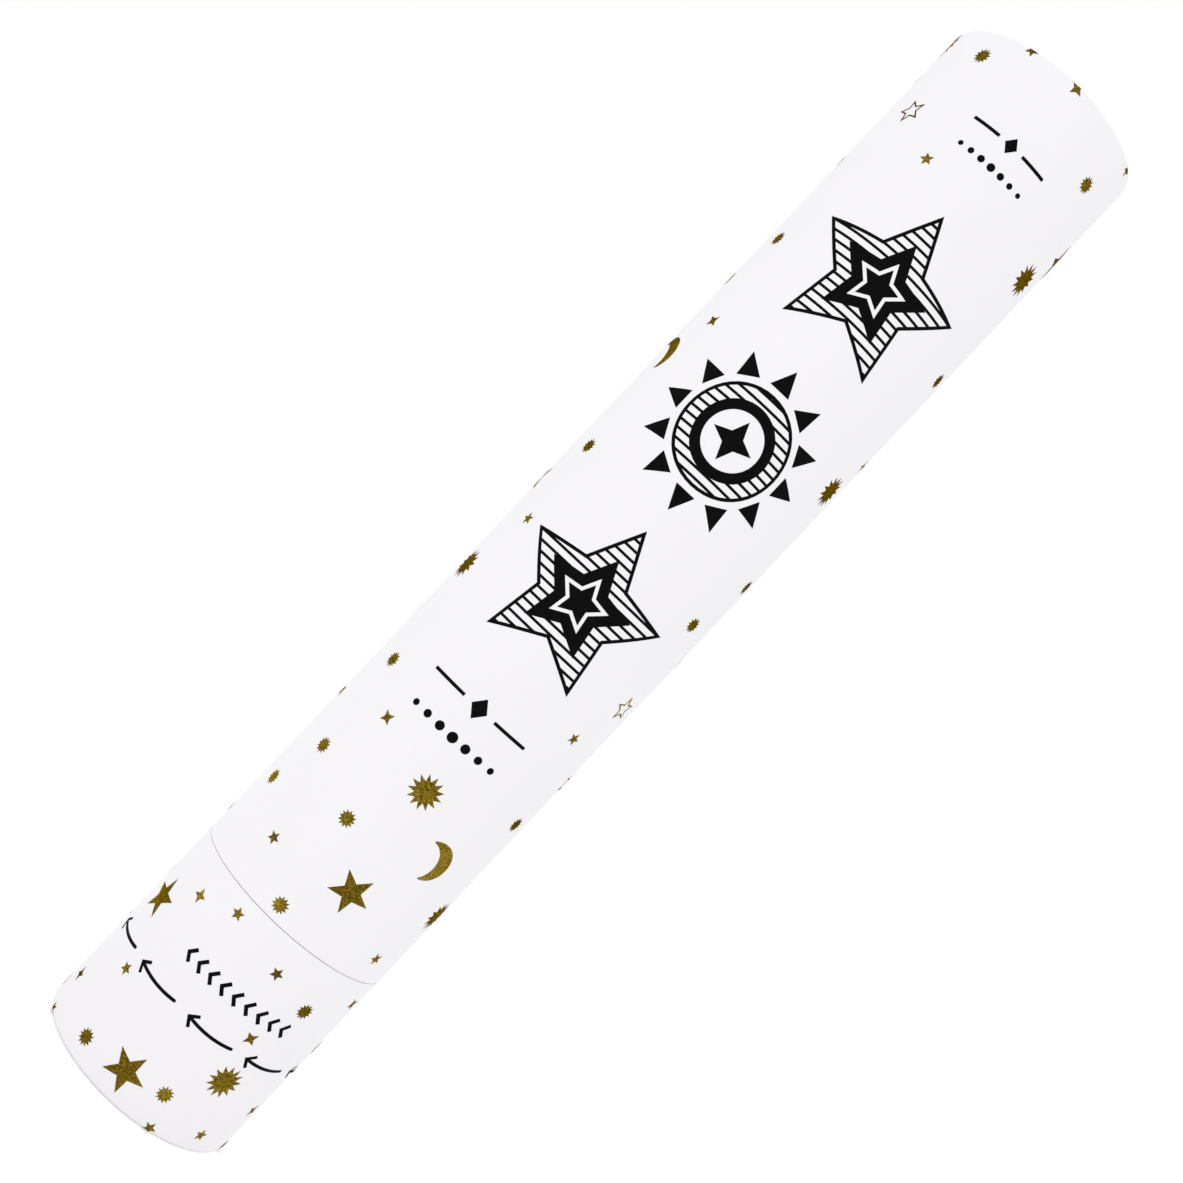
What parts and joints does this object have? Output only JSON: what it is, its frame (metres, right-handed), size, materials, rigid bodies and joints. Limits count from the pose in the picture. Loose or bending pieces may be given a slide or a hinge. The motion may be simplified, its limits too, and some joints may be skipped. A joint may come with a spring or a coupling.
{
  "type": "confetti popper",
  "caption": "Twist-action confetti popper: wrapped board barrel and turning base, with an air can and valve on a cam-lifted carrier, a confetti charge and a press-in closure.",
  "frame": {"origin": "centre of the bottom rim, on the surface that the popper stands on", "axes": "+Z along the tube's axis from the base to the mouth; -Y is the face of the print that the picture shows"},
  "size_m": [0.05, 0.05, 0.288],
  "materials": {
    "board": "matte",
    "wrap_paper": "satin",
    "white_card": "matte",
    "black_plastic": "satin",
    "natural_plastic": "satin",
    "red_plastic": "satin",
    "white_plastic": "satin",
    "spring_steel": "satin",
    "seal_rubber": "matte",
    "can_aluminium": "satin",
    "lacquered_tin": "gloss",
    "wad_card": "matte",
    "wad_foam": "matte",
    "gold_paper": "gloss",
    "white_paper": "matte",
    "black_paper": "matte",
    "facing_foil": "gloss",
    "print_foil": "gloss",
    "print_ink": "satin"
  },
  "bodies": {
    "barrel": {"barrel_tube": "board", "barrel_wrap": "wrap_paper", "guide_sleeve": "black_plastic", "nozzle_plug": "natural_plastic", "push_pin": "spring_steel", "neck_seal_ring": "seal_rubber", "return_spring": "spring_steel"},
    "base": {"base_tube": "board", "base_wrap": "wrap_paper", "bottom_cap": "white_card", "twist_housing": "black_plastic", "cam_disc": "natural_plastic"},
    "carrier": {"carrier": "red_plastic", "air_can": "can_aluminium", "valve_body": "natural_plastic", "valve_gasket": "seal_rubber", "crimp_cup": "lacquered_tin", "valve_spring": "spring_steel"},
    "valve_stem": {"valve_stem": "natural_plastic"},
    "charge": {"wad_card_lower": "wad_card", "wad_foam": "wad_foam", "wad_card_upper": "wad_card", "confetti_gold": "gold_paper", "confetti_white": "white_paper", "confetti_black": "black_paper"},
    "closure": {"closure_cup": "white_plastic", "closure_facing": "facing_foil"}
  },
  "joints": [
    {"name": "base_twist", "type": "hinge", "parent": "barrel", "child": "base", "pos_m": [0, 0, 0.0499], "axis": [0, 0, -1], "range_deg": [0, 90]},
    {"name": "carrier_lift", "type": "slide", "parent": "barrel", "child": "carrier", "axis": [0, 0, 1], "range_m": [0, 0.00501], "deforming": ["return_spring"]},
    {"name": "valve_press", "type": "slide", "parent": "carrier", "child": "valve_stem", "axis": [0, 0, -1], "range_m": [0, 0.00501], "deforming": ["valve_spring"]},
    {"name": "charge_launch", "type": "slide", "parent": "barrel", "child": "charge", "axis": [0, 0, 1], "range_m": [0, 0.21]},
    {"name": "closure_pop", "type": "slide", "parent": "barrel", "child": "closure", "axis": [0, 0, 1], "range_m": [0, 0.2525]}
  ],
  "couplings": [
    {"joint": "carrier_lift", "follows": "base_twist", "m_per_rad": 0.0031831},
    {"joint": "valve_press", "follows": "base_twist", "m_per_rad": 0.0031831},
    {"joint": "closure_pop", "follows": "charge_launch", "ratio": 1.2}
  ]
}
